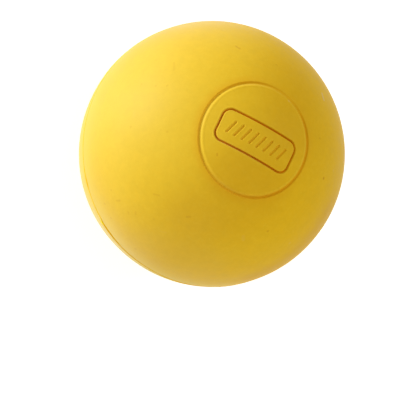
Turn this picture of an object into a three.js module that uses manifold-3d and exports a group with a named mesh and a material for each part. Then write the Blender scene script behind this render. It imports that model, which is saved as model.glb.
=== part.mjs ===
// A solid rubber ball, pressed in a two-part mould.
// Two solid half-balls meet on the parting plane, z = 0, and a thin ring of trimmed flash lies in a
// rebate between their rims. The front half has a moulded ring round its pole, +Z, and inside the
// ring a plain panel with a row of slanted bars. Millimetres, origin at the centre of the ball.

import * as THREE from "three";
import { mergeVertices } from "three/addons/utils/BufferGeometryUtils.js";
import Module from "manifold-3d";

const wasm = await Module();
wasm.setup();

// The ball
const BALL_DIAMETER = 60;
const RIM_FILLET = 0.2; // rounds each half's edge beside the flash

// The flash that the mould squeezes out at the parting plane, and the rebate that it lies in
const FLASH_THICKNESS = 0.5;
const FLASH_STAND = 0.1; // what the trimming leaves above the ball's surface
const FLASH_WIDTH = 1.8; // from its inner wall to the ball's surface
const SEAT_CLEARANCE = 0.3; // between the flash and the rebate's inner wall

// The moulded ring, a round-bottomed groove measured across its lowest line
const RING_DIAMETER = 24.4;
const RING_INNER_SLOPE = 0.7; // from the lowest line in to the surface, the gentle side
const RING_OUTER_SLOPE = 0.3; // from the lowest line out to the surface, the steep side
const RING_DEPTH = 0.35;

// The panel inside the ring, outlined by a fine groove
const PANEL_LENGTH = 17.6; // along X, across the groove's centre line
const PANEL_WIDTH = 7.3; // along Y
const PANEL_CORNER = 1.9;
const PANEL_OFFSET = 0.4; // from the pole to the panel's middle, towards -Y
const PANEL_LINE_WIDTH = 0.6;
const PANEL_LINE_DEPTH = 0.6;

// The row of slanted bars along the panel's middle
const BAR_PITCH = 1.75; // rounded to share the row out evenly
const BAR_WIDTH = 0.5;
const BAR_DEPTH = 0.3;
const BAR_SLANT = 20; // degrees from square to the row
const BAR_SIDE_MARGIN = 2; // from a bar's end to the panel's outline
const ROW_END_MARGIN = 2.65; // from the last bar's centre to the panel's end

// Facets
const ROUND_SEGMENTS = 72;
const QUARTER_STEPS = 15; // along the surface from the rim to the ring, or to the pole
const CAP_STEPS = 5; // from the ring to the pole
const SLOPE_STEPS = 3; // on each side of the ring's lowest line
const FILLET_STEPS = 3;
const CORNER_SEGMENTS = 5;

const BALL_RADIUS = BALL_DIAMETER / 2;
const FLASH_HALF = FLASH_THICKNESS / 2;
const FLASH_INNER = BALL_RADIUS - FLASH_WIDTH;
const SEAT_RADIUS = FLASH_INNER - SEAT_CLEARANCE;
const RING_ANGLE = Math.asin(RING_DIAMETER / BALL_DIAMETER); // from the pole to the groove's lowest line
const RING_INNER_ANGLE = RING_ANGLE - RING_INNER_SLOPE / BALL_RADIUS;
const RING_OUTER_ANGLE = RING_ANGLE + RING_OUTER_SLOPE / BALL_RADIUS;

const mouldedRubber = new THREE.MeshStandardMaterial({ color: 0xe3b92c, roughness: 0.5, metalness: 0 });
const trimmedRubber = new THREE.MeshStandardMaterial({ color: 0xd0a11c, roughness: 0.65, metalness: 0 });

// A closed geometry as a solid, with shared vertices merged and empty triangles left out.
function solidOf(geometry) {
  geometry.deleteAttribute("normal");
  geometry.deleteAttribute("uv");
  const merged = mergeVertices(geometry);
  const corners = merged.index.array;
  const triangles = [];
  for (let i = 0; i < corners.length; i += 3) {
    const [a, b, c] = corners.slice(i, i + 3);
    if (a !== b && b !== c && c !== a) triangles.push(a, b, c);
  }
  return new wasm.Manifold(
    new wasm.Mesh({
      numProp: 3,
      vertProperties: merged.attributes.position.array,
      triVerts: new Uint32Array(triangles),
    }),
  );
}

// A solid as a geometry that a mesh can hold.
function geometryOf(solid) {
  const { vertProperties, triVerts } = solid.getMesh();
  const geometry = new THREE.BufferGeometry();
  geometry.setAttribute("position", new THREE.BufferAttribute(vertProperties, 3));
  geometry.setIndex(new THREE.BufferAttribute(triVerts, 1));
  geometry.computeVertexNormals();
  return geometry;
}

// The solid that a profile of [radius, height] points sweeps round the Z axis. It runs up its outer side.
function turned(profile) {
  const points = profile.map(([radius, height]) => new THREE.Vector2(radius, height));
  return solidOf(new THREE.LatheGeometry(points, ROUND_SEGMENTS).rotateX(Math.PI / 2));
}

// Points from start to end in equal steps, both ends included.
function steps(start, end, count, pointAt) {
  return Array.from({ length: count + 1 }, (_, i) => pointAt(start + ((end - start) * i) / count));
}

// The point on a sphere of this radius at an angle from the pole.
function onSphere(radius, angle) {
  return [radius * Math.sin(angle), radius * Math.cos(angle)];
}

// A point on one side of the moulded ring's groove, at a share of the way from its lowest line to the
// angle from the pole where that side meets the surface. The depth falls off as half a cosine wave.
function onGroove(edgeAngle, share) {
  const depth = (RING_DEPTH * (1 + Math.cos(Math.PI * share))) / 2;
  return onSphere(BALL_RADIUS - depth, RING_ANGLE + (edgeAngle - RING_ANGLE) * share);
}

// The fillet of a half's rim, from its flat face to the sphere, and the angle from the pole where it ends.
function rimFillet() {
  const height = FLASH_HALF + RIM_FILLET;
  const centre = Math.sqrt((BALL_RADIUS - RIM_FILLET) ** 2 - height ** 2);
  const lift = Math.atan2(height, centre);
  const points = steps(-Math.PI / 2, lift, FILLET_STEPS, (a) => [
    centre + RIM_FILLET * Math.cos(a),
    height + RIM_FILLET * Math.sin(a),
  ]);
  return { points, endAngle: Math.PI / 2 - lift };
}

// Half a ball above z = 0, with the rebate for the flash, and with or without the moulded ring.
function halfBall(withRing) {
  const rim = rimFillet();
  const surface = withRing
    ? [
        ...steps(rim.endAngle, RING_OUTER_ANGLE, QUARTER_STEPS, (a) => onSphere(BALL_RADIUS, a)),
        ...steps(1, 0, SLOPE_STEPS, (share) => onGroove(RING_OUTER_ANGLE, share)),
        ...steps(0, 1, SLOPE_STEPS, (share) => onGroove(RING_INNER_ANGLE, share)),
        ...steps(RING_INNER_ANGLE, 0, CAP_STEPS, (a) => onSphere(BALL_RADIUS, a)),
      ]
    : steps(rim.endAngle, 0, QUARTER_STEPS, (a) => onSphere(BALL_RADIUS, a));
  return turned([[0, 0], [SEAT_RADIUS, 0], [SEAT_RADIUS, FLASH_HALF], ...rim.points, ...surface]);
}

// A rectangle with round corners, centred on the axis. Corners of half its width make a bar.
function roundedOutline(Kind, length, width, corner) {
  const x = length / 2 - corner;
  const y = width / 2 - corner;
  const outline = new Kind();
  outline.absarc(x, y, corner, 0, Math.PI / 2);
  outline.absarc(-x, y, corner, Math.PI / 2, Math.PI);
  outline.absarc(-x, -y, corner, Math.PI, 1.5 * Math.PI);
  outline.absarc(x, -y, corner, 1.5 * Math.PI, 2 * Math.PI);
  outline.closePath();
  return outline;
}

// A flat shape as a post along Z that passes up through the ball's surface.
function postOf(shape) {
  const options = { depth: BALL_RADIUS, bevelEnabled: false, curveSegments: CORNER_SEGMENTS };
  return new THREE.ExtrudeGeometry(shape, options).translate(0, 0, BALL_RADIUS / 2);
}

// The cutter for the panel's outline: the band between two round-cornered rectangles.
function panelLine() {
  const half = PANEL_LINE_WIDTH / 2;
  const band = roundedOutline(
    THREE.Shape,
    PANEL_LENGTH + PANEL_LINE_WIDTH,
    PANEL_WIDTH + PANEL_LINE_WIDTH,
    PANEL_CORNER + half,
  );
  band.holes.push(
    roundedOutline(
      THREE.Path,
      PANEL_LENGTH - PANEL_LINE_WIDTH,
      PANEL_WIDTH - PANEL_LINE_WIDTH,
      PANEL_CORNER - half,
    ),
  );
  return solidOf(postOf(band).translate(0, -PANEL_OFFSET, 0));
}

// The cutters for the row of slanted bars.
function panelBars() {
  const slant = THREE.MathUtils.degToRad(BAR_SLANT);
  const rowHalf = PANEL_LENGTH / 2 - ROW_END_MARGIN;
  const barLength = PANEL_WIDTH - 2 * BAR_SIDE_MARGIN;
  const bar = roundedOutline(THREE.Shape, BAR_WIDTH, barLength, BAR_WIDTH / 2);
  return steps(-rowHalf, rowHalf, Math.round((2 * rowHalf) / BAR_PITCH), (x) =>
    solidOf(postOf(bar).rotateZ(-slant).translate(x, -PANEL_OFFSET, 0)),
  );
}

// A cutter cut short so that it reaches an even depth below the ball's surface.
function toDepth(cutter, depth) {
  const core = turned(steps(Math.PI, 0, 2 * QUARTER_STEPS, (a) => onSphere(BALL_RADIUS - depth, a)));
  return cutter.subtract(core);
}

function frontHalf() {
  let half = halfBall(true).subtract(toDepth(panelLine(), PANEL_LINE_DEPTH));
  for (const bar of panelBars()) half = half.subtract(toDepth(bar, BAR_DEPTH));
  return geometryOf(half);
}

function rearHalf() {
  return geometryOf(halfBall(false).rotate([180, 0, 0]));
}

// A flat ring with a rounded nose, which fills the gap between the two rims.
function partingFlash() {
  const noseStart = BALL_RADIUS - RIM_FILLET;
  const noseReach = RIM_FILLET + FLASH_STAND;
  const nose = steps(-Math.PI / 2, Math.PI / 2, 2 * FILLET_STEPS, (a) => [
    noseStart + noseReach * Math.cos(a),
    FLASH_HALF * Math.sin(a),
  ]);
  const first = [FLASH_INNER, -FLASH_HALF];
  return geometryOf(turned([first, ...nose, [FLASH_INNER, FLASH_HALF], first]));
}

function named(name, geometry, material) {
  const mesh = new THREE.Mesh(geometry, material);
  mesh.name = name;
  return mesh;
}

const ball = new THREE.Group();
ball.add(named("front_half", frontHalf(), mouldedRubber));
ball.add(named("rear_half", rearHalf(), mouldedRubber));
ball.add(named("parting_flash", partingFlash(), trimmedRubber));

export default ball;
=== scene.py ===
"""Dresses a packed rubber ball: two moulded halves, the trimmed flash between them, and a studio."""

import math

import bmesh
import bpy
import numpy as np
from bpy.props import FloatProperty, FloatVectorProperty, IntProperty, PointerProperty
from mathutils import Matrix, Vector


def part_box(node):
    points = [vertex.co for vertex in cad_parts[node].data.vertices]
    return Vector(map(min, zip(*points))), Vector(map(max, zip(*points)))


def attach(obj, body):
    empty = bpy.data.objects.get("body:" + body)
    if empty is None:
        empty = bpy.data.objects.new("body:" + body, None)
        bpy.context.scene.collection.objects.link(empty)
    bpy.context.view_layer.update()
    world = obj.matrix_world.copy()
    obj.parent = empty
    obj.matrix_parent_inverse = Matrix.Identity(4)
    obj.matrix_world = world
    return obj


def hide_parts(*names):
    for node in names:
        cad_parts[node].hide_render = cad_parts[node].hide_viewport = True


bl_info = {
    "name": "Rubber Ball",
    "version": (1, 1, 0),
    "blender": (4, 5, 0),
    "location": "View3D > Sidebar > Ball",
    "description": "Builds the moulded halves and the parting flash of a solid rubber ball",
    "category": "Add Mesh",
}

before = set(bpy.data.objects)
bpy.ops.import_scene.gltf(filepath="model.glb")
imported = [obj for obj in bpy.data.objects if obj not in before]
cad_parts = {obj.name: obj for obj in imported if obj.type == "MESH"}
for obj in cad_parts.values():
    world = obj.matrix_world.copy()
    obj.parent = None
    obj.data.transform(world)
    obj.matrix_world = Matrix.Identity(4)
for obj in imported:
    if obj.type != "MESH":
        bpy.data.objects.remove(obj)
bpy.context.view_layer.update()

MM = 0.001
BALL_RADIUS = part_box("front_half")[1].x
FLASH_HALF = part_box("parting_flash")[1].z  # half the flash's thickness
FLASH_WIDTH = 1.8 * MM  # from the flash's inner wall to the ball's surface
SEAT_CLEARANCE = 0.3 * MM  # between the flash and the rebate's inner wall

# Columns round each piece, and rows across each stretch of it
FRONT_COLUMNS = 576
PANEL_ROWS = 57  # from the panel's spine to its line
LINE_ROWS = 15  # across the panel line
BETWEEN_ROWS = 18  # from the panel line to the ring
RING_ROWS = 27  # across the ring
SIDE_ROWS = 36  # from the ring to the rim
REAR_COLUMNS = 432
REAR_ROWS = 96  # from the pole to the rim
FILLET_ROWS = 7  # round a half's rim
FLASH_COLUMNS = 1800
NOSE_ROWS = 15  # round the flash's nose

# Lengths of the random waves in the shapes
SKIN_WAVE = 14 * MM
SEAM_WAVE = 9 * MM
SLOW_TEAR_WAVE = 7 * MM
QUICK_TEAR_WAVE = 1.3 * MM

# Where the seam changes, in radians past the nick: where each change starts and where it is complete
SEAM_OPENS = (-0.01, 0.02)
SEAM_NARROWS = (0.1, 0.25)
SEAM_CLOSES = (1.4, 2.2)
FLASH_RISES = (-0.5, -0.3)

# Scales of the random textures, in features to the metre
PATCH_SCALE = 75
DRIFT_SCALE = 110
SPECK_SCALE = 240
MOTTLE_SCALE = 560
WOBBLE_SCALE = 900
PITTING_SCALE = 1100
FLECK_SCALE = 1400
GRAIN_SCALE = 4200
NOISE_RANGE = (0.3, 0.7)  # where most values of a noise texture lie

WHITE = (1, 1, 1, 1)

# Where the photograph shows things, in its own pixels, with y downwards
IMAGE_SIZE = 416  # both wide and high
BALL_CENTRE_PIXEL = (211.86, 153.8)
BALL_RADIUS_PIXELS = 133.08
SEAM_NICK_PIXEL = (101.9, 221)
SEAM_TORN_PIXEL = (86.8, 182.2)
HIGHLIGHT_PIXEL = (127, 99)  # where the pale bloom, a painted highlight, lies thickest on the lit upper left
DUSTY_PIXEL = (82.9, 151)  # the middle of the dusty side

# Where the ring is faint: a pixel there, the reach to each side in radians, and how faint it is
RING_FAINT = {
    "at_upper_right": ((285, 97.5), 0.9, 1),
    "at_lower_left": ((212, 180), 0.8, 0.35),
}

# Marks on the rubber. Each has the pixels where it starts and ends, its reach to each side in pixels,
# and how strongly it shows, from 0 to 1. The first are small dark specks, dashes and smudges
DARK_MARKS = {
    "dash_above_ring": ((235.8, 46.3), (239.8, 48.6), 1.6, 0.36),
    "smudge_high_left": ((174.1, 63), (174.1, 70.5), 1.8, 0.12),
    "speck_near_top": ((276.4, 64.6), (276.4, 64.6), 1.8, 0.25),
    "speck_high_left": ((155.8, 60.2), (155.8, 60.2), 1.8, 0.1),
    "speck_left_of_ring": ((167.4, 85.6), (167.4, 85.6), 1.8, 0.18),
    "speck_beside_it": ((155.8, 86), (155.8, 86), 1.6, 0.2),
    "speck_further_left": ((141.5, 84.3), (141.5, 84.3), 1.8, 0.13),
    "speck_level_with_panel": ((167.4, 131.6), (167.4, 131.6), 1.8, 0.15),
    "speck_next_to_it": ((160.7, 130), (160.7, 130), 1.6, 0.05),
    "speck_at_right": ((319.7, 138.3), (319.7, 138.3), 2, 0.28),
    "clear_dot_at_right": ((323.75, 178.4), (323.75, 178.4), 2, 0.62),
    "dot_below_ring": ((267.9, 231.1), (267.9, 231.1), 1.9, 0.36),
    "smudge_below_left": ((208.5, 217.6), (214.5, 217.6), 1.8, 0.06),
    "smudge_below": ((231, 218.7), (237, 218.7), 1.8, 0.05),
    "dash_low_left": ((186.8, 216.8), (190, 216.8), 1.7, 0.24),
    "mark_low_left": ((153.6, 194), (159, 195.2), 1.5, 0.17),
    "dash_at_left": ((116.6, 200.6), (120, 200.4), 1.6, 0.19),
    "speck_at_left": ((111.1, 190.2), (111.1, 190.2), 1.9, 0.16),
    "speck_near_seam": ((104.8, 203.6), (104.8, 203.6), 1.9, 0.26),
    "speck_above_nick": ((111, 217.9), (111, 217.9), 1.9, 0.24),
    "first_of_a_pair": ((128.5, 212.5), (128.5, 214), 1.6, 0.17),
    "second_of_a_pair": ((135.6, 211.8), (135.6, 214.6), 1.6, 0.15),
    "smudge_beside_the_pair": ((153.9, 219.2), (153.9, 219.2), 2.4, 0.11),
    "speck_low": ((135.6, 249), (135.6, 249), 2, 0.24),
    "dot_inside_ring": ((217, 154), (217, 155.4), 1.5, 0.38),
    "dot_in_upper_left": ((130.8, 126.7), (130.8, 126.7), 2, 0.15),
}
# Broad, soft patches that are a little browner and darker: painted shade where the ball lies in shade
SHADE_PATCHES = {
    "patch_at_upper_right": ((286, 84), (292, 124), 52, 0.1),
    "patch_low_in_ring": ((236, 180), (262, 190), 44, 0.15),
    "patch_below_ring": ((190, 212), (240, 216), 38, 0.08),
    "patch_at_lower_right": ((256, 277), (327, 214), 30, 0.2),
}
# Small pale scuffs and spots, and last a broad, soft pale patch of painted light at the lower left
PALE_MARKS = {
    "scuff_high_right": ((322, 93.5), (323.8, 99.5), 2, 0.8),
    "scuff_below_ring": ((243.2, 236), (243.6, 240), 2.6, 0.07),
    "scuff_low_right": ((289.8, 242.9), (289.8, 242.9), 2.6, 0.13),
    "scuff_at_right": ((333.6, 170.5), (333.6, 170.5), 2.4, 0.14),
    "line_low_left": ((160, 231.6), (166, 232.4), 1.6, 0.06),
    "patch_upper_left": ((134, 112), (134, 116), 3, 0.04),
    "worn_spot_on_ring": ((288.9, 100.8), (288.9, 100.8), 2, 0.3),
    # Painted light: paler where the lower left is lit more
    "painted_light_low_left": ((157, 249), (200, 263), 38, 0.05),
}
# The nick, where the rubber under the skin shows, painted brighter as a glint on its burr
RAW_AND_GLINT_MARKS = {
    "nick_in_seam": ((101.8, 222.4), (101.8, 222.4), 5, 1),
}


def length_of(name, description, default):
    """A property that holds a length in metres."""
    return FloatProperty(name=name, description=description, default=default, unit="LENGTH")


def angle_of(name, description, degrees):
    """A property that holds an angle."""
    default = math.radians(degrees)
    return FloatProperty(name=name, description=description, default=default, subtype="ANGLE")


def power_of(name, description, watts):
    """A property that holds a lamp's power."""
    return FloatProperty(name=name, description=description, default=watts, unit="POWER")


def share_of(name, description, default):
    """A property that holds a value from 0 to 1."""
    return FloatProperty(name=name, description=description, default=default, min=0, max=1)


def colour_of(name, description, default):
    """A property that holds a colour."""
    return FloatVectorProperty(
        name=name, description=description, default=default, subtype="COLOR", min=0, max=1
    )


def direction_of(name, description, default):
    """A property that holds a direction."""
    return FloatVectorProperty(name=name, description=description, default=default, subtype="DIRECTION")


class BallSizes(bpy.types.PropertyGroup):
    """Sizes of what the mould leaves on the ball's surface."""

    ring_diameter: length_of("Ring Diameter", "Across the lowest line of the ring's groove", 24.4 * MM)
    ring_inner_slope: length_of("Ring Inner Slope", "Width of the groove's gentle inner side", 0.7 * MM)
    ring_outer_slope: length_of("Ring Outer Slope", "Width of the groove's steep outer side", 0.3 * MM)
    ring_depth: length_of("Ring Depth", "Depth of the ring's groove", 0.35 * MM)
    panel_length: length_of("Panel Length", "Between the panel line's middles at its two ends", 17.6 * MM)
    panel_width: length_of("Panel Width", "Between the panel line's middles at its two sides", 7.3 * MM)
    panel_corner: length_of("Panel Corner", "Radius of the panel line at its corners", 1.9 * MM)
    panel_offset: length_of("Panel Offset", "From the pole to the panel's middle, towards -Y", 0.4 * MM)
    line_width: length_of("Line Width", "Width of the panel line at the surface", 0.6 * MM)
    line_depth: length_of("Line Depth", "Depth of the panel line", 0.6 * MM)
    bar_count: IntProperty(name="Bars", description="Slanted bars in the panel", default=8, min=1)
    bar_length: length_of("Bar Length", "Length of one bar", 3.3 * MM)
    bar_width: length_of("Bar Width", "Width of one bar at the surface", 0.5 * MM)
    bar_depth: length_of("Bar Depth", "Depth of one bar", 0.3 * MM)
    bar_slant: angle_of("Bar Slant", "Turn of a bar from square to the row", 20)
    row_length: length_of("Row Length", "From the first bar's middle to the last bar's", 12.3 * MM)
    waviness: length_of("Waviness", "How far the moulded surface wanders from a true sphere", 0.012 * MM)


class PartingSizes(bpy.types.PropertyGroup):
    """Sizes of the trimmed flash and of the two rims beside it."""

    flash_stand: length_of(
        "Flash Stand", "Height of the trimmed flash above the ball where it stands most", 0.1 * MM
    )
    flash_tear: length_of("Flash Tear", "How far the trimmed edge rises and falls", 0.02 * MM)
    seam_drift: length_of("Seam Drift", "How far the seam wanders towards either half", 0.05 * MM)
    seam_jog: length_of("Seam Jog", "Half the step in the seam at the nick", 0.35 * MM)
    rim_fillet: length_of(
        "Rim Fillet", "Rounding of each half's rim where the seam is most open", 0.3 * MM
    )


class RubberFinish(bpy.types.PropertyGroup):
    """Colours and gloss of the rubber."""

    rubber_colour: colour_of("Rubber", "Colour of the moulded rubber", (0.788, 0.487, 0.0132))
    # Painted shade: the darker colour at the bottom of the grooves
    groove_shade_colour: colour_of("Grooves", "Colour at the bottom of the grooves", (0.72, 0.29, 0.001))
    # Also the colour of the brown patches, which are painted shade
    dirt_and_shade_colour: colour_of("Dirt", "Colour of the dark marks and the brown patches", (0.5, 0.17, 0.003))
    scuff_colour: colour_of("Scuffs", "Colour of the pale marks", (0.72, 0.52, 0.25))
    # Also the tint of the painted light on lips and in the bands beside the rims
    worn_and_highlight_colour: colour_of("Worn Rubber", "Colour of rubbed places and pale flecks", (0.85, 0.62, 0.05))
    # Painted highlight: colour of the pale bloom, which is thickest where the light falls most
    highlight_bloom_colour: colour_of("Bloom", "Colour of the pale bloom on the rubber", (0.855, 0.635, 0.116))
    # Raw rubber's colour, painted brighter as a glint on the nick's burr
    raw_and_glint_colour: colour_of("Raw Rubber", "Colour of fresh rubber under the skin", (0.95, 0.74, 0.003))
    trimmed_colour: colour_of("Trimmed Flash", "Colour where the flash is trimmed", (0.84, 0.52, 0.002))
    # Painted shade: a deeper, more saturated colour in and beside the seam's crease
    seam_shade_colour: colour_of("Seam Stain", "Colour beside the seam where it is deepest", (0.78, 0.43, 0.001))
    roughness: share_of("Roughness", "Roughness of the moulded rubber", 0.45)
    trimmed_roughness: share_of("Trimmed Roughness", "Roughness where the flash is trimmed", 0.6)
    gloss_level: share_of("Gloss Level", "Specular level of the moulded rubber", 0.04)
    trimmed_gloss_level: share_of("Trimmed Gloss Level", "Specular level where the flash is trimmed", 0.03)
    sheen: share_of("Sheen", "Sheen of the moulded rubber on its clean side", 0.03)
    dusty_sheen: share_of("Dusty Sheen", "Sheen of the moulded rubber on its dusty side", 0.48)
    # The pale bloom is a painted highlight on the lit upper left
    highlight_haze: share_of("Haze", "How much bloom covers the rubber where it lies thickest", 0.48)
    highlight_haze_reach: length_of("Haze Reach", "How far the bloom reaches from where it lies thickest", 15.8 * MM)
    grain: share_of("Grain", "Strength of the fine grain on moulded rubber", 0.5)
    trimmed_grain: share_of("Trimmed Grain", "Strength of the fine grain where the flash is trimmed", 1)
    grain_depth: length_of("Grain Depth", "Depth of the fine grain at full strength", 0.02 * MM)


class StudioSetup(bpy.types.PropertyGroup):
    """The camera at the photograph's angle, the lamps and the surroundings."""

    camera_distance: length_of("Camera Distance", "From the camera to the ball's centre", 360 * MM)
    pole_tilt: angle_of("Pole Tilt", "Angle between the ring's axis and the line to the camera", 19.9)
    pole_heading: angle_of(
        "Pole Heading", "Direction of the tilt in the picture, anticlockwise from right", 18.2
    )
    panel_heading: angle_of(
        "Panel Heading", "Direction of the panel in the picture, anticlockwise from right", -28.7
    )
    key_power: power_of("Key Power", "Power of the lamp at the upper left", 4.42)
    key_colour: colour_of("Key Colour", "Colour of the lamp at the upper left", (0.734, 0.806, 1))
    key_direction: direction_of(
        "Key Direction", "From the ball to the lamp at the upper left, in camera axes", (-0.746, 0.604, 0.28)
    )
    low_power: power_of("Low Power", "Power of the lamp below", 1)
    low_direction: direction_of(
        "Low Direction", "From the ball to the lamp below, in camera axes", (-0.237, -0.885, 0.4)
    )
    side_power: power_of("Side Power", "Power of the lamp at the right", 0.88)
    side_direction: direction_of(
        "Side Direction", "From the ball to the lamp at the right, in camera axes", (0.84, 0.21, 0.5)
    )
    surroundings: FloatProperty(
        name="Surroundings", description="Brightness of the pale surroundings", default=0.46
    )
    surroundings_colour: colour_of(
        "Surroundings Colour", "Colour of the light from the surroundings", (1, 0.943, 0.717)
    )


def plane_waves(points, wavelength, seed):
    """A smooth random value for each point: the sum of plane waves of one wavelength, in random
    directions and phases, over the root of half their number, so that its spread is about 1."""
    count = 40
    rng = np.random.default_rng(seed)
    directions = rng.normal(size=(count, 3))
    directions /= np.linalg.norm(directions, axis=1, keepdims=True)
    phases = rng.uniform(0, 2 * np.pi, count)
    turns = points @ (directions.T * (2 * np.pi / wavelength)) + phases
    return np.cos(turns).sum(axis=-1) / math.sqrt(count / 2)


def smooth_step(low, high, value):
    """0 below low, 1 above high, and 3t^2 - 2t^3 between them."""
    t = np.clip((value - low) / (high - low), 0, 1)
    return t * t * (3 - 2 * t)


def cosine_bell(offset, reach):
    """1 at an offset of 0, 0 from the reach outwards to both sides, and half a cosine wave between."""
    return 0.5 + 0.5 * np.cos(np.pi * np.minimum(np.abs(offset) / reach, 1))


def longitudes(columns):
    """Equal steps of angle once round, in radians from 0."""
    return np.arange(columns) / columns * 2 * np.pi


def around(longitude, radius, height):
    """Points at these longitudes, distances from the Z axis and heights."""
    x, y = radius * np.cos(longitude), radius * np.sin(longitude)
    return np.stack(np.broadcast_arrays(x, y, height), axis=-1)


def camera_axes(studio):
    """The matrix that turns camera axes into the row frame. Its columns are the camera's right, up and
    back directions. Its rows are the row frame's axes as the camera has them: the pole, last, is
    (sin t cos h, sin t sin h, cos t), +X, first, is (cos p, sin p, -tan t cos(h - p)) made a unit
    length, and +Y is square to both."""
    tilt, heading, panel = studio.pole_tilt, studio.pole_heading, studio.panel_heading
    pole = Vector((
        math.sin(tilt) * math.cos(heading),
        math.sin(tilt) * math.sin(heading),
        math.cos(tilt),
    ))
    along = Vector((math.cos(panel), math.sin(panel), -math.tan(tilt) * math.cos(heading - panel)))
    along.normalize()
    across = pole.cross(along)
    return Matrix((along, across, pole))


def limb_slope(distance):
    """Slope of the line from a camera at this distance from the ball's centre to the ball's outline."""
    return BALL_RADIUS / math.sqrt(distance ** 2 - BALL_RADIUS ** 2)


def seen_at(studio, pixel):
    """The direction from the ball's centre to the point of its surface that shows at a pixel: the
    nearer crossing of the pixel's ray with the sphere."""
    distance = studio.camera_distance
    per_pixel = limb_slope(distance) / BALL_RADIUS_PIXELS
    ray = Vector((
        (pixel[0] - BALL_CENTRE_PIXEL[0]) * per_pixel,
        (BALL_CENTRE_PIXEL[1] - pixel[1]) * per_pixel,
        -1,
    )).normalized()
    start = Vector((0, 0, distance))
    half_chord = -start.dot(ray)
    reach = half_chord - math.sqrt(half_chord ** 2 - distance ** 2 + BALL_RADIUS ** 2)
    return camera_axes(studio) @ (start + ray * reach) / BALL_RADIUS


def turned_past(longitude, studio, pixel):
    """Signed angle, from -pi to pi, from the longitude that shows at a pixel to each longitude."""
    direction = seen_at(studio, pixel)
    return (longitude - math.atan2(direction.y, direction.x) + np.pi) % (2 * np.pi) - np.pi


def outline_points(columns, length, width, corner):
    """Points and outward unit normals of a rectangle with round corners, anticlockwise from the middle
    of its +X end, at equal steps of its length. A quarter is half an end, an arc and half a side; the
    other quarters mirror it."""
    end, side, arc = width / 2 - corner, length / 2 - corner, np.pi / 2 * corner
    quarter = end + arc + side
    travel = np.arange(columns) / columns * 4 * quarter
    which = (travel // quarter).astype(int)
    along = travel - which * quarter
    along = np.where(which % 2 == 1, quarter - along, along)
    turn = np.clip((along - end) / corner, 0, np.pi / 2)
    slide = np.maximum(along - end - arc, 0)
    normal = np.stack([np.cos(turn), np.sin(turn)], axis=-1)
    point = np.stack([side - slide, np.minimum(along, end)], axis=-1) + corner * normal
    signs = np.stack([np.where((which == 1) | (which == 2), -1, 1), np.where(which >= 2, -1, 1)], axis=-1)
    return point * signs, normal * signs


def panel_distance(x, y, sizes):
    """Signed distance from the panel line's middle, positive outside: the distance to a smaller
    rectangle, less the corner's radius."""
    over_x = np.abs(x) - (sizes.panel_length / 2 - sizes.panel_corner)
    over_y = np.abs(y) - (sizes.panel_width / 2 - sizes.panel_corner)
    outside = np.hypot(np.maximum(over_x, 0), np.maximum(over_y, 0))
    inside = np.minimum(np.maximum(over_x, over_y), 0)
    return outside + inside - sizes.panel_corner


def bar_distance(x, y, sizes):
    """Signed distance from the nearest slanted bar's edge: the distance to the line along its middle,
    less half its width."""
    half = (sizes.bar_length - sizes.bar_width) / 2
    lean_x, lean_y = math.sin(sizes.bar_slant), math.cos(sizes.bar_slant)
    nearest = np.full(x.shape, np.inf)
    for middle in np.linspace(-sizes.row_length / 2, sizes.row_length / 2, sizes.bar_count):
        reach = np.clip((x - middle) * lean_x + y * lean_y, -half, half)
        nearest = np.minimum(nearest, np.hypot(x - middle - reach * lean_x, y - reach * lean_y))
    return nearest - sizes.bar_width / 2


def ring_marks(x, y, sizes, studio):
    """The ring's depth, its painted shade and its painted highlight at (x, y). The depth is a cosine
    hollow with a gentle inner and a steep outer side, and a faint lip inside it. The painted shade lies a
    little outside the lowest line on the side towards the light, and over it on the far side, where it
    is broader. The painted highlight is on the inner side towards the light and on the lip on the far
    side. The hollow and the painted shade are weaker where the photograph shows the ring faint."""
    from_ring = np.hypot(x, y) - sizes.ring_diameter / 2
    slope = np.where(from_ring < 0, sizes.ring_inner_slope, sizes.ring_outer_slope)
    longitude = np.arctan2(y, x)
    faint = sum(
        share * cosine_bell(turned_past(longitude, studio, pixel), reach)
        for pixel, reach, share in RING_FAINT.values()
    )
    depth_loss, shade_loss = 0.5 * faint, 0.3 * faint
    lip_height, lip_gap, lip_reach = 0.03 * MM, 0.12 * MM, 0.28 * MM
    depth = sizes.ring_depth * (1 - depth_loss) * cosine_bell(from_ring, slope)
    depth -= lip_height * cosine_bell(from_ring + sizes.ring_inner_slope + lip_gap, lip_reach)

    # lean is -1 on the far side and 1 towards the light; the painted shade's pairs of values go with it
    lean = np.cos(turned_past(longitude, studio, HIGHLIGHT_PIXEL))
    shade_middle = np.interp(lean, (-1, 1), (-0.01 * MM, 0.25 * MM))
    shade_reach = np.interp(lean, (-1, 1), (0.52 * MM, 0.36 * MM))
    shade_share = np.interp(lean, (-1, 1), (0.53, 0.43)) - shade_loss
    # Painted shade: a darker tint in the groove, placed by the side the light comes from
    ring_shade = shade_share * cosine_bell(from_ring - shade_middle, shade_reach)
    # Painted highlight: paler on the inner side towards the light and on the far side's lip
    painted_light = 0
    for side, share, inside, reach in (
        (lean, 0.32, 0.4 * MM, 0.32 * MM),
        (-lean, 0.3, 0.75 * MM, 0.35 * MM),
    ):
        painted_light += share * np.maximum(side, 0) * cosine_bell(from_ring + inside, reach)
    return depth, ring_shade, painted_light


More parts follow.
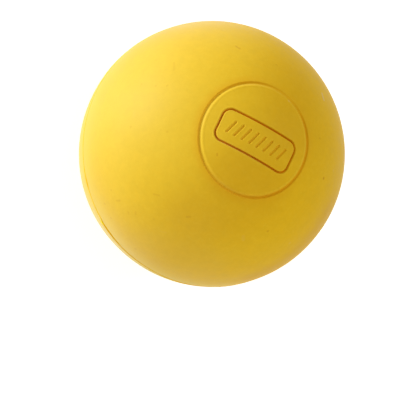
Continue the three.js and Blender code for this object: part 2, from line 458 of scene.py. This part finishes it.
def panel_marks(x, y, sizes):
    """The depth of the panel's line and bars at (x, y), how deep in one of them each point is, which sets
    the painted shade in them, and the painted highlight on their lips. Both have a flat floor, steep sides
    and a faint swelling beside them."""
    y = y + sizes.panel_offset
    half_line = sizes.line_width / 2
    from_line = np.abs(panel_distance(x, y, sizes))
    floor_half, lip_middle, lip_reach = 0.2 * half_line, 1.5 * half_line, 0.5 * half_line
    line = 1 - smooth_step(floor_half, half_line, from_line)
    line_lip = cosine_bell(from_line - lip_middle, lip_reach)
    from_bar = bar_distance(x, y, sizes)
    soft_edge = 0.2 * MM
    bars = 1 - smooth_step(-soft_edge, 0.6 * soft_edge, from_bar)
    bar_lip = cosine_bell(from_bar - soft_edge, soft_edge)
    line_lip_height, bar_lip_height = 0.03 * MM, 0.02 * MM
    depth = sizes.line_depth * line + sizes.bar_depth * bars
    depth -= line_lip_height * line_lip + bar_lip_height * bar_lip
    # Share of painted shade in the bars, and of painted highlight on the line's and the bars' lips
    bar_shade_share, line_lip_highlight, bar_lip_highlight = 0.22, 0.14, 0.1
    deep = np.maximum(line, bar_shade_share * bars)
    return depth, deep, line_lip_highlight * line_lip + bar_lip_highlight * bar_lip


def seam_height(longitude, studio, parting):
    """Height of the seam's middle line: slow random drift, and at the nick a step down from the side
    above it to the side below, which fades out along the seam both ways."""
    drift = parting.seam_drift * plane_waves(around(longitude, BALL_RADIUS, 0), SEAM_WAVE, seed=3)
    past = turned_past(longitude, studio, SEAM_NICK_PIXEL)
    step_arc, fade_arc = 0.012, 0.35
    step = -np.tanh(past / step_arc) * np.exp(-np.abs(past) / fade_arc)
    return drift + parting.seam_jog * step


def seam_openness(longitude, studio):
    """How wide the gap beside the flash is, from 0 to 1. It is nearly closed above the nick, opens
    there, soon narrows, and closes about a third of the way round."""
    past = turned_past(longitude, studio, SEAM_NICK_PIXEL)
    nearly_closed, narrowing = 0.1, 0.6
    opened = smooth_step(*SEAM_OPENS, past) * (1 - smooth_step(*SEAM_CLOSES, past))
    narrowed = 1 - narrowing * smooth_step(*SEAM_NARROWS, past)
    return nearly_closed + (1 - nearly_closed) * opened * narrowed


def flash_standing(longitude, studio):
    """How far the flash stands out, as a share of its full stand: most on both sides of the nick and at
    the torn skin, and little further on."""
    past = turned_past(longitude, studio, SEAM_NICK_PIXEL)
    beside = smooth_step(*FLASH_RISES, past) * (1 - smooth_step(*SEAM_CLOSES, past))
    torn_arc = 0.06
    torn = cosine_bell(turned_past(longitude, studio, SEAM_TORN_PIXEL), torn_arc)
    least, more_beside, more_torn = 0.3, 0.4, 0.3
    return least + more_beside * beside + more_torn * torn


def seam_shade_strength(longitude, studio):
    """How strong the painted shade beside the seam is, from 0 to 1: as the seam is open, or where it is
    closed as the flash stands out, and more at the torn skin."""
    torn_arc, from_standing, from_torn = 0.1, 0.2, 0.45
    torn = cosine_bell(turned_past(longitude, studio, SEAM_TORN_PIXEL), torn_arc)
    closed = from_standing * flash_standing(longitude, studio) + from_torn * torn
    return np.maximum(seam_openness(longitude, studio), closed)


def grid_faces(rows, columns):
    """The four-cornered faces between neighbouring rows of a grid whose columns close on themselves."""
    index = np.arange(rows * columns).reshape(rows, columns)
    after = np.roll(index, -1, axis=1)
    return np.stack([index[:-1], after[:-1], after[1:], index[1:]], axis=-1).reshape(-1, 4)


def closed_piece(name, points, fields, node, material, wraps=False):
    """Makes a closed piece from a (rows, columns, 3) grid. The first and last rows fold flat onto
    themselves, or with wraps the rows close on themselves too. fields are values for each point."""
    rows, columns = points.shape[:2]
    if wraps:
        points = np.concatenate([points, points[:1]])
        fields = {key: np.concatenate([value, value[:1]]) for key, value in fields.items()}
        rows += 1
    mesh = bpy.data.meshes.new(name)
    mesh.from_pydata(points.reshape(-1, 3), [], grid_faces(rows, columns).tolist())
    for key, value in fields.items():
        layer = mesh.attributes.new(key, "FLOAT", "POINT")
        layer.data.foreach_set("value", value.reshape(-1).astype(np.float32))
    work = bmesh.new()
    work.from_mesh(mesh)
    work.verts.ensure_lookup_table()
    ends = work.verts[:columns] + work.verts[-columns:]
    same_place, no_length, sharp_angle = 1e-7, 1e-9, math.radians(60)
    bmesh.ops.remove_doubles(work, verts=ends, dist=same_place)
    bmesh.ops.dissolve_degenerate(work, edges=work.edges, dist=no_length)
    bmesh.ops.recalc_face_normals(work, faces=work.faces)
    work.to_mesh(mesh)
    work.free()
    mesh.set_sharp_from_angle(angle=sharp_angle)
    mesh.shade_smooth()
    mesh.materials.append(material)
    piece = bpy.data.objects.new(name, mesh)
    bpy.context.scene.collection.objects.link(piece)
    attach(piece, "root")
    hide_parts(node)


def on_ball(x, y):
    """Points of the upper half of the sphere above (x, y)."""
    return np.stack([x, y, np.sqrt(BALL_RADIUS ** 2 - x ** 2 - y ** 2)], axis=-1)


def rim_and_base(longitude, studio, parting, side):
    """Rows of points from a half's last row on the sphere round its rim and over its hidden flat face to
    the axis: a quarter-round fillet, the rebate's floor and wall, and the flat. side is 1 for the front
    half and -1 for the rear. Heights follow the seam. Also the angle from the pole where the rim
    starts."""
    height = FLASH_HALF + side * seam_height(longitude, studio, parting)
    fillet = parting.rim_fillet * seam_openness(longitude, studio)
    centre_height = height + fillet
    centre_radius = np.sqrt((BALL_RADIUS - fillet) ** 2 - centre_height ** 2)
    lift = np.arctan2(centre_height, centre_radius)
    rows = []
    for share in np.linspace(0, 1, FILLET_ROWS):
        angle = lift + (-np.pi / 2 - lift) * share
        rows.append((centre_radius + fillet * np.cos(angle), centre_height + fillet * np.sin(angle)))
    seat = BALL_RADIUS - FLASH_WIDTH - SEAT_CLEARANCE
    rows.append((seat, height))
    rows += [(seat * share, 0) for share in (1, 0.6, 0.25, 0)]
    points = [around(longitude, radius, side * above) for radius, above in rows]
    return np.stack(points), np.pi / 2 - lift


def surface_rows(longitude, start_angle, end_angle, count, side):
    """Rows on the sphere from one angle off the pole to another, which may differ with longitude,
    leaving out both ends. The rows lie closer towards the second angle: their shares of the way are
    1 - (1 - s)^c, with the crowding c, at equal steps of s."""
    crowding = 1.9
    rows = []
    for step in np.linspace(0, 1, count + 2)[1:-1]:
        angle = start_angle + (end_angle - start_angle) * (1 - (1 - step) ** crowding)
        rows.append(around(longitude, BALL_RADIUS * np.sin(angle), side * BALL_RADIUS * np.cos(angle)))
    return np.stack(rows)


def rows_between(first, last, shares):
    """Rows at these shares of the way from one row of points to another."""
    return first + (last - first) * shares[:, None, None]


def moulded(skin, depth, sizes, side, seed):
    """The skin with its marks pressed in to their depth, and with random waves, which fade out over the
    last 2 mm above the parting plane."""
    fade = smooth_step(0, 2 * MM, side * skin[..., 2])
    depth = depth + sizes.waviness * fade * plane_waves(skin, SKIN_WAVE, seed)
    return skin * (1 - depth / BALL_RADIUS)[..., None]


def rim_painted_light(height, share, full_to, none_from):
    """Painted light beside a half's rim, as a paler colour: a share of full paleness up to one height,
    none from another upwards.
    """
    return share * (1 - smooth_step(full_to, none_from, height))


def seam_shade(points, studio, parting):
    """Painted shade at each point: as strong as along the seam, and less with height from it."""
    longitude = np.arctan2(points[..., 1], points[..., 0])
    beyond = np.abs(points[..., 2] - seam_height(longitude, studio, parting)) - FLASH_HALF
    full_to, none_from = 0.15 * MM, 0.8 * MM
    return seam_shade_strength(longitude, studio) * (1 - smooth_step(full_to, none_from, beyond))


def bare_below(values, points):
    """The skin's values, with rows of 0 added for the rim and the base."""
    return np.concatenate([values, np.zeros((len(points) - len(values), points.shape[1]))])


def front_grid(sizes, parting, studio):
    """The front half as one grid of closed curves. They spread from a spine along the panel's middle to
    the panel line, from there to the ring, and down the sphere to the rim, and then close the base. A
    band beside the rim is painted paler: painted light."""
    outline, normal = outline_points(
        FRONT_COLUMNS, sizes.panel_length, sizes.panel_width, sizes.panel_corner
    )
    middle = np.array([0, -sizes.panel_offset])
    spine_half = (sizes.panel_length - sizes.panel_width) / 2
    spine_stretch = spine_half / (sizes.panel_length / 2 - sizes.panel_corner)
    spine_x = np.clip(outline[:, 0] * spine_stretch, -spine_half, spine_half)
    spine = np.stack([spine_x, np.zeros(FRONT_COLUMNS)], axis=-1) + middle
    line_reach = 0.8 * sizes.line_width
    line_inside = outline - line_reach * normal + middle
    line_outside = outline + line_reach * normal + middle
    longitude = longitudes(FRONT_COLUMNS)
    circle = around(longitude, 1, 0)[:, :2]
    ring = sizes.ring_diameter / 2
    inner, outer = ring - 1.6 * sizes.ring_inner_slope, ring + 1.2 * sizes.ring_outer_slope
    flat = np.concatenate([
        rows_between(spine, line_inside, np.linspace(0, 1, PANEL_ROWS + 1)[:-1]),
        rows_between(line_inside, line_outside, np.linspace(0, 1, LINE_ROWS)),
        rows_between(line_outside, inner * circle, np.linspace(0, 1, BETWEEN_ROWS + 2)[1:-1]),
        rows_between(inner * circle, outer * circle, np.linspace(0, 1, RING_ROWS)),
    ])
    rim, rim_angle = rim_and_base(longitude, studio, parting, 1)
    lower = surface_rows(longitude, math.asin(outer / BALL_RADIUS), rim_angle, SIDE_ROWS, 1)
    skin = np.concatenate([on_ball(flat[..., 0], flat[..., 1]), lower])
    ring_depth, ring_shade, ring_highlight = ring_marks(skin[..., 0], skin[..., 1], sizes, studio)
    panel_depth, deep, lip_highlight = panel_marks(skin[..., 0], skin[..., 1], sizes)
    # Painted light: a pale band beside the rim
    rim_light = rim_painted_light(skin[..., 2], share=0.4, full_to=1 * MM, none_from=7.5 * MM)
    points = np.concatenate([moulded(skin, ring_depth + panel_depth, sizes, 1, seed=11), rim])
    fields = {
        # Painted shade in the panel's grooves and in the ring's groove
        "groove": bare_below(np.maximum(deep, ring_shade), points),
        "painted_light": bare_below(ring_highlight + lip_highlight + rim_light, points),
        "shaded_seam": seam_shade(points, studio, parting),
    }
    return points, fields


def rear_grid(sizes, parting, studio):
    """The rear half as a grid of circles from its pole down to the rim, and then over the base. A band
    beside the rim is painted paler: painted light."""
    longitude = longitudes(REAR_COLUMNS)
    rim, rim_angle = rim_and_base(longitude, studio, parting, -1)
    pole = around(longitude, 0, -BALL_RADIUS)[None]
    skin = np.concatenate([pole, surface_rows(longitude, 0, rim_angle, REAR_ROWS, -1)])
    points = np.concatenate([moulded(skin, 0, sizes, -1, seed=12), rim])
    fields = {
        "groove": np.zeros(points.shape[:2]),
        # Painted light: a pale band beside the rim
        "painted_light": rim_painted_light(-points[..., 2], share=0.7, full_to=4 * MM, none_from=12 * MM),
        "shaded_seam": seam_shade(points, studio, parting),
    }
    return points, fields


def flash_grid(parting, studio):
    """The flash as a ring: a flat band with a rounded nose, carried round the seam. The nose's stand
    rises and falls with the trimming, in slow and in quick random waves."""
    longitude = longitudes(FLASH_COLUMNS)
    circle = around(longitude, BALL_RADIUS, 0)
    middle = seam_height(longitude, studio, parting)
    slow = plane_waves(circle, SLOW_TEAR_WAVE, seed=21)
    quick = plane_waves(circle, QUICK_TEAR_WAVE, seed=22)
    quick_share = 0.4
    tear = slow + quick_share * quick
    stand = flash_standing(longitude, studio) * (parting.flash_stand + parting.flash_tear * tear)
    fillet = parting.rim_fillet * seam_openness(longitude, studio)
    inner = BALL_RADIUS - FLASH_WIDTH
    rows = [(inner, middle - FLASH_HALF)]
    for angle in np.linspace(-np.pi / 2, np.pi / 2, NOSE_ROWS):
        reach = (fillet + stand) * math.cos(angle)
        rows.append((BALL_RADIUS - fillet + reach, middle + FLASH_HALF * math.sin(angle)))
    rows.append((inner, middle + FLASH_HALF))
    return np.stack([around(longitude, radius, height) for radius, height in rows])


class NodeSheet:
    """Adds shader nodes to one node tree. Sockets are set by name, with _ for a space, or by number, as
    _0 for the first, and a value that is another node's output becomes a link."""

    def __init__(self, tree):
        self.tree = tree
        tree.nodes.clear()

    def add(self, kind, settings=None, **sockets):
        node = self.tree.nodes.new(kind)
        for key, value in (settings or {}).items():
            setattr(node, key, value)
        for key, value in sockets.items():
            socket = node.inputs[int(key[1:])] if key[0] == "_" else node.inputs[key.replace("_", " ")]
            if isinstance(value, bpy.types.NodeSocket):
                self.tree.links.new(value, socket)
            else:
                socket.default_value = value
        return node

    def noise(self, where, scale, detail=2.0, roughness=0.5):
        node = self.add("ShaderNodeTexNoise", Vector=where, Scale=scale, Detail=detail, Roughness=roughness)
        return node.outputs[0]

    def spread(self, value, low, high, to_low, to_high, curve="LINEAR"):
        settings = {"interpolation_type": curve}
        node = self.add("ShaderNodeMapRange", settings, _0=value, _1=low, _2=high, _3=to_low, _4=to_high)
        return node.outputs["Result"]

    def math(self, operation, first, second=0.0):
        return self.add("ShaderNodeMath", {"operation": operation}, _0=first, _1=second).outputs[0]

    def vector(self, operation, first, second):
        return self.add("ShaderNodeVectorMath", {"operation": operation}, _0=first, _1=second).outputs

    def scaled(self, vector, share):
        return self.add("ShaderNodeVectorMath", {"operation": "SCALE"}, _0=vector, Scale=share).outputs[0]

    def blend(self, share, first, second, kind="MIX"):
        settings = {"data_type": "RGBA", "blend_type": kind}
        return self.add("ShaderNodeMix", settings, _0=share, _6=first, _7=second).outputs[2]

    def tinted(self, share, colour, tint):
        return self.blend(share, colour, (*tint, 1))

    def value_of(self, attribute):
        return self.add("ShaderNodeAttribute", {"attribute_name": attribute}).outputs["Fac"]


def marks_shown(sheet, where, studio, marks):
    """How strongly the marks show at each point. A mark is a straight line between two points of the
    ball's surface. It shows fully up to a fifth of its reach from the line, and fades out from there."""
    pixel = BALL_RADIUS / BALL_RADIUS_PIXELS
    shown = 0.0
    for start, end, reach, strength in marks.values():
        nearest = seen_at(studio, start) * BALL_RADIUS
        if start != end:
            along = seen_at(studio, end) * BALL_RADIUS - nearest
            offset = sheet.vector("SUBTRACT", where, nearest)[0]
            share = sheet.vector("DOT_PRODUCT", offset, along / along.length_squared)[1]
            share = sheet.math("MINIMUM", sheet.math("MAXIMUM", share, 0.0), 1.0)
            nearest = sheet.vector("ADD", nearest, sheet.scaled(along, share))[0]
        gap = sheet.vector("DISTANCE", where, nearest)[1]
        full_to, none_from = 0.2 * reach * pixel, reach * pixel
        fading = sheet.spread(gap, full_to, none_from, strength, 0, "SMOOTHSTEP")
        shown = sheet.math("MAXIMUM", shown, fading)
    return shown


def painted_highlight_bloom(sheet, where, finish, studio):
    """The share of the pale bloom, a painted highlight: most on the lit upper left and less all round it,
    as e^-(d/reach)^2 with the distance d from there, in soft patches."""
    thickest = seen_at(studio, HIGHLIGHT_PIXEL) * BALL_RADIUS
    offset = sheet.vector("SUBTRACT", where, thickest)[0]
    square = sheet.vector("DOT_PRODUCT", offset, offset)[1]
    fall = sheet.math("EXPONENT", sheet.math("MULTIPLY", square, -1 / finish.highlight_haze_reach ** 2))
    thin, thick = 0.85 * finish.highlight_haze, 1.15 * finish.highlight_haze
    patches = sheet.spread(sheet.noise(where, PATCH_SCALE), *NOISE_RANGE, thin, thick)
    return sheet.math("MULTIPLY", fall, patches)


def dusty_sheen(sheet, where, finish, studio, bare):
    """The skin's sheen: more on the dusty side and little on the other, and less in the bare places.
    For each kind of them their share of the surface is given, and last how much sheen they lose."""
    nearness = sheet.vector("DOT_PRODUCT", where, seen_at(studio, DUSTY_PIXEL) / BALL_RADIUS)[1]
    clean_to, dusty_from = -0.3, 0.4
    sheen = sheet.spread(nearness, clean_to, dusty_from, finish.sheen, finish.dusty_sheen, "SMOOTHSTEP")
    for share, _, loss in bare:
        kept = sheet.math("SUBTRACT", 1.0, sheet.math("MULTIPLY", share, loss))
        sheen = sheet.math("MULTIPLY", sheen, kept)
    return sheen


def random_specks(sheet, where, studio):
    """Small specks at random, only where the photograph doesn't show the ball. Each cell of a random
    pattern may hold one, and its size is in widths of a cell."""
    without_speck, edge_of_unseen, strength, full_to, none_from = 0.82, 0.05, 0.3, 0.03, 0.12
    cells = sheet.add("ShaderNodeTexVoronoi", Vector=where, Scale=SPECK_SCALE)
    draw = sheet.add("ShaderNodeSeparateColor", Color=cells.outputs["Color"]).outputs[0]
    chosen = sheet.math("GREATER_THAN", draw, without_speck)
    towards = sheet.vector("DOT_PRODUCT", where, camera_axes(studio).col[2] / BALL_RADIUS)[1]
    unseen = sheet.math("LESS_THAN", towards, edge_of_unseen)
    speck = sheet.spread(cells.outputs["Distance"], full_to, none_from, strength, 0, "SMOOTHSTEP")
    return sheet.math("MULTIPLY", sheet.math("MULTIPLY", speck, chosen), unseen)


def drifting_colour(sheet, where, mottle, base, finish, studio):
    """The rubber's own colour: the base under a pale bloom that is a painted highlight, mottled lighter and
    darker, with a paler tint in patches about a centimetre apart and in flecks under a millimetre apart."""
    darkest, lightest, patch_share, fleck_share = 0.965, 1.02, 0.1, 0.16
    patch_noise, fleck_noise = (0.5, 0.8), (0.45, 0.8)
    # Painted highlight: a pale bloom on the lit upper left
    colour = sheet.tinted(painted_highlight_bloom(sheet, where, finish, studio), (*base, 1), finish.highlight_bloom_colour)
    patches = sheet.spread(sheet.noise(where, DRIFT_SCALE), *patch_noise, 0, patch_share)
    colour = sheet.tinted(patches, colour, finish.worn_and_highlight_colour)
    shade = sheet.spread(mottle, *NOISE_RANGE, darkest, lightest)
    colour = sheet.blend(1.0, colour, shade, "MULTIPLY")
    flecks = sheet.spread(sheet.noise(where, FLECK_SCALE, 1), *fleck_noise, 0, fleck_share)
    return sheet.tinted(flecks, colour, finish.worn_and_highlight_colour)


def marked_colour(sheet, where, colour, finish, studio):
    """The colour under its marks: the brown patches of painted shade, the dark marks and the specks of the
    unseen side, and the pale marks, the last of them painted light. All but the brown patches have
    uneven edges, from a small random shift."""
    largest_shift = 0.35 * MM
    wobble = sheet.add("ShaderNodeTexNoise", Vector=where, Scale=WOBBLE_SCALE, Detail=1.0)
    centred = sheet.vector("SUBTRACT", wobble.outputs["Color"], (0.5, 0.5, 0.5))[0]
    uneven = sheet.vector("ADD", where, sheet.scaled(centred, largest_shift))[0]
    dark = marks_shown(sheet, uneven, studio, DARK_MARKS)
    for shown, tint in (
        # The brown patches are painted shade; the dark marks and specks are real marks
        (marks_shown(sheet, where, studio, SHADE_PATCHES), finish.dirt_and_shade_colour),
        (sheet.math("MAXIMUM", dark, random_specks(sheet, uneven, studio)), finish.dirt_and_shade_colour),
        (marks_shown(sheet, uneven, studio, PALE_MARKS), finish.scuff_colour),
    ):
        colour = sheet.tinted(shown, colour, tint)
    return colour


def rubber_material(name, finish, studio, trimmed=False):
    """Moulded or trimmed rubber. Over its own drifting colour and its marks come the bare places, each
    with its share of the surface, its tint and how much sheen it loses: painted light on lips and beside
    the rims, painted shade in the grooves and beside the seam, and raw rubber with a painted glint. Its
    gloss and fine grain vary. Trimmed rubber has no skin: it is rougher, with hardly any gloss and no
    sheen."""
    material = bpy.data.materials.new(name)
    material.use_nodes = True
    sheet = NodeSheet(material.node_tree)
    where = sheet.add("ShaderNodeTexCoord").outputs["Object"]
    mottle = sheet.noise(where, MOTTLE_SCALE, 3, 0.6)
    base = finish.trimmed_colour if trimmed else finish.rubber_colour
    colour = drifting_colour(sheet, where, mottle, base, finish, studio)
    colour = marked_colour(sheet, where, colour, finish, studio)
    # Painted shade beside the seam
    least_seam_shade, most_seam_shade = 0.05, 0.95
    shaded_seam = sheet.spread(sheet.value_of("shaded_seam"), 0.1, 1, least_seam_shade, most_seam_shade)
    bare = (
        # Painted light: pale lips and pale bands beside the rims
        (sheet.value_of("painted_light"), finish.worn_and_highlight_colour, 0.4),
        # Painted shade in the grooves
        (sheet.value_of("groove"), finish.groove_shade_colour, 1.0),
        (shaded_seam, finish.seam_shade_colour, 1.0),
        # Raw rubber at the nick, with a painted glint
        (marks_shown(sheet, where, studio, RAW_AND_GLINT_MARKS), finish.raw_and_glint_colour, 1.0),
    )
    for share, tint, _ in bare:
        colour = sheet.tinted(share, colour, tint)

    roughness = finish.trimmed_roughness if trimmed else finish.roughness
    smoother, rougher = roughness - 0.05, roughness + 0.06
    fine_share = 0.4
    fine = sheet.math("MULTIPLY", sheet.noise(where, GRAIN_SCALE), fine_share)
    relief = sheet.math("ADD", fine, sheet.noise(where, PITTING_SCALE, 3))
    grain = finish.trimmed_grain if trimmed else finish.grain
    bump = sheet.add("ShaderNodeBump", Strength=grain, Distance=finish.grain_depth, Height=relief)
    shader = sheet.add(
        "ShaderNodeBsdfPrincipled",
        Base_Color=colour,
        Roughness=sheet.spread(mottle, *NOISE_RANGE, smoother, rougher),
        Normal=bump.outputs["Normal"],
        Specular_IOR_Level=finish.trimmed_gloss_level if trimmed else finish.gloss_level,
        Sheen_Weight=0.0 if trimmed else dusty_sheen(sheet, where, finish, studio, bare),
        Sheen_Roughness=0.4,
    )
    sheet.add("ShaderNodeOutputMaterial", Surface=shader.outputs["BSDF"])
    return material


class BALL_OT_front_half(bpy.types.Operator):
    """Add the front half, with its ring, its panel and its bars"""

    bl_idname = "ball.front_half"
    bl_label = "Front Half"

    def execute(self, context):
        scene = context.scene
        points, fields = front_grid(scene.ball_sizes, scene.ball_parting, scene.ball_studio)
        rubber = rubber_material("front_rubber", scene.ball_finish, scene.ball_studio)
        closed_piece("front_half_skin", points, fields, "front_half", rubber)
        return {"FINISHED"}


class BALL_OT_rear_half(bpy.types.Operator):
    """Add the rear half"""

    bl_idname = "ball.rear_half"
    bl_label = "Rear Half"

    def execute(self, context):
        scene = context.scene
        points, fields = rear_grid(scene.ball_sizes, scene.ball_parting, scene.ball_studio)
        rubber = rubber_material("rear_rubber", scene.ball_finish, scene.ball_studio)
        closed_piece("rear_half_skin", points, fields, "rear_half", rubber)
        return {"FINISHED"}


class BALL_OT_parting_flash(bpy.types.Operator):
    """Add the trimmed flash between the halves"""

    bl_idname = "ball.parting_flash"
    bl_label = "Parting Flash"

    def execute(self, context):
        scene = context.scene
        points = flash_grid(scene.ball_parting, scene.ball_studio)
        longitude = np.arctan2(points[..., 1], points[..., 0])
        plain = np.zeros(longitude.shape)
        # Painted shade along the flash, as beside the seam
        fields = {"groove": plain, "painted_light": plain, "shaded_seam": seam_shade_strength(longitude, scene.ball_studio)}
        rubber = rubber_material("trimmed_rubber", scene.ball_finish, scene.ball_studio, trimmed=True)
        closed_piece(
            "parting_flash_trim", points, fields, "parting_flash", rubber, wraps=True
        )
        return {"FINISHED"}


def seen_directly(sheet):
    """1 for camera, reflection and transmission rays, and 0 for the others."""
    path = sheet.add("ShaderNodeLightPath")
    seen = sheet.math("MAXIMUM", path.outputs["Is Camera Ray"], path.outputs["Is Glossy Ray"])
    return sheet.math("MAXIMUM", seen, path.outputs["Is Transmission Ray"])


def pale_world(studio):
    """White where the camera, a reflection or clear material looks at it, and an even, slightly warm
    light on everything else."""
    world = bpy.data.worlds.new("pale_surroundings")
    world.use_nodes = True
    sheet = NodeSheet(world.node_tree)
    seen = seen_directly(sheet)
    colour = sheet.blend(seen, (*studio.surroundings_colour, 1), WHITE)
    strength = sheet.spread(seen, 0, 1, studio.surroundings, 1.0)
    shader = sheet.add("ShaderNodeBackground", Color=colour, Strength=strength)
    sheet.add("ShaderNodeOutputWorld", Surface=shader.outputs["Background"])
    bpy.context.scene.world = world


def pale_floor():
    """A round white floor under the ball. Camera, reflection and transmission rays see it a little
    brighter than it is, so that it is white where it is lit and still holds the ball's shadow."""
    radius, sides, whiteness, lift_level = 220 * MM, 96, 0.86, 0.6
    mesh = bpy.data.meshes.new("floor")
    mesh.from_pydata(around(longitudes(sides), radius, -BALL_RADIUS), [], [list(range(sides))])
    material = bpy.data.materials.new("pale_floor")
    material.use_nodes = True
    sheet = NodeSheet(material.node_tree)
    grey = (whiteness, whiteness, whiteness, 1)
    matt = sheet.add("ShaderNodeBsdfDiffuse", Color=grey).outputs["BSDF"]
    lift_strength = sheet.math("MULTIPLY", seen_directly(sheet), lift_level)
    lift = sheet.add("ShaderNodeEmission", Color=WHITE, Strength=lift_strength)
    both = sheet.add("ShaderNodeAddShader", _0=matt, _1=lift.outputs["Emission"]).outputs["Shader"]
    sheet.add("ShaderNodeOutputMaterial", Surface=both)
    mesh.materials.append(material)
    floor = bpy.data.objects.new("floor", mesh)
    bpy.context.scene.collection.objects.link(floor)


def softbox(name, toward, power, colour=(1, 1, 1)):
    """A square area lamp in a direction from the ball's centre, facing it, unseen by the camera."""
    distance, size = 600 * MM, 300 * MM
    lamp = bpy.data.lights.new(name, "AREA")
    lamp.shape = "SQUARE"
    lamp.size = size
    lamp.energy = power
    lamp.color = colour
    box = bpy.data.objects.new(name, lamp)
    back = Vector(toward).normalized()
    turn = back.to_track_quat("Z", "Y").to_matrix().to_4x4()
    box.matrix_world = Matrix.Translation(back * distance) @ turn
    box.visible_camera = False
    bpy.context.scene.collection.objects.link(box)


def photo_camera(studio):
    """The camera at the photograph's angle, aimed at the ball's centre and shifted so that the ball sits
    where it does in the photograph."""
    data = bpy.data.cameras.new("photo_camera")
    data.sensor_width = 36
    ball_share = BALL_RADIUS_PIXELS / IMAGE_SIZE
    data.lens = data.sensor_width * ball_share / limb_slope(studio.camera_distance)
    data.shift_x = 0.5 - BALL_CENTRE_PIXEL[0] / IMAGE_SIZE
    data.shift_y = BALL_CENTRE_PIXEL[1] / IMAGE_SIZE - 0.5
    data.clip_start = 0.01
    axes = camera_axes(studio)
    camera = bpy.data.objects.new("photo_camera", data)
    camera.matrix_world = Matrix.Translation(axes.col[2] * studio.camera_distance) @ axes.to_4x4()
    bpy.context.scene.collection.objects.link(camera)
    bpy.context.scene.camera = camera


class BALL_OT_studio(bpy.types.Operator):
    """Add the camera, the floor, the lamps and the pale surroundings"""

    bl_idname = "ball.studio"
    bl_label = "Studio"

    def execute(self, context):
        studio = context.scene.ball_studio
        photo_camera(studio)
        pale_floor()
        pale_world(studio)
        axes = camera_axes(studio)
        softbox("key_lamp", axes @ studio.key_direction, studio.key_power, studio.key_colour)
        softbox("low_lamp", axes @ studio.low_direction, studio.low_power)
        softbox("side_lamp", axes @ studio.side_direction, studio.side_power)
        context.scene.view_settings.view_transform = "Standard"
        return {"FINISHED"}


class BALL_PT_pieces(bpy.types.Panel):
    """The ball's pieces and its studio"""

    bl_idname = "BALL_PT_pieces"
    bl_label = "Rubber Ball"
    bl_space_type = "VIEW_3D"
    bl_region_type = "UI"
    bl_category = "Ball"

    def draw(self, context):
        for operator in OPERATORS:
            self.layout.operator(operator.bl_idname)


GROUPS = {
    "ball_sizes": BallSizes,
    "ball_parting": PartingSizes,
    "ball_finish": RubberFinish,
    "ball_studio": StudioSetup,
}
OPERATORS = (BALL_OT_studio, BALL_OT_front_half, BALL_OT_rear_half, BALL_OT_parting_flash)


def register():
    for group in (*GROUPS.values(), *OPERATORS, BALL_PT_pieces):
        bpy.utils.register_class(group)
    for name, group in GROUPS.items():
        setattr(bpy.types.Scene, name, PointerProperty(type=group))


def unregister():
    for name in GROUPS:
        delattr(bpy.types.Scene, name)
    for group in (BALL_PT_pieces, *reversed(OPERATORS), *reversed(GROUPS.values())):
        bpy.utils.unregister_class(group)


def main():
    register()
    bpy.ops.ball.studio()
    bpy.ops.ball.front_half()
    bpy.ops.ball.rear_half()
    bpy.ops.ball.parting_flash()


if __name__ == "__main__":
    main()
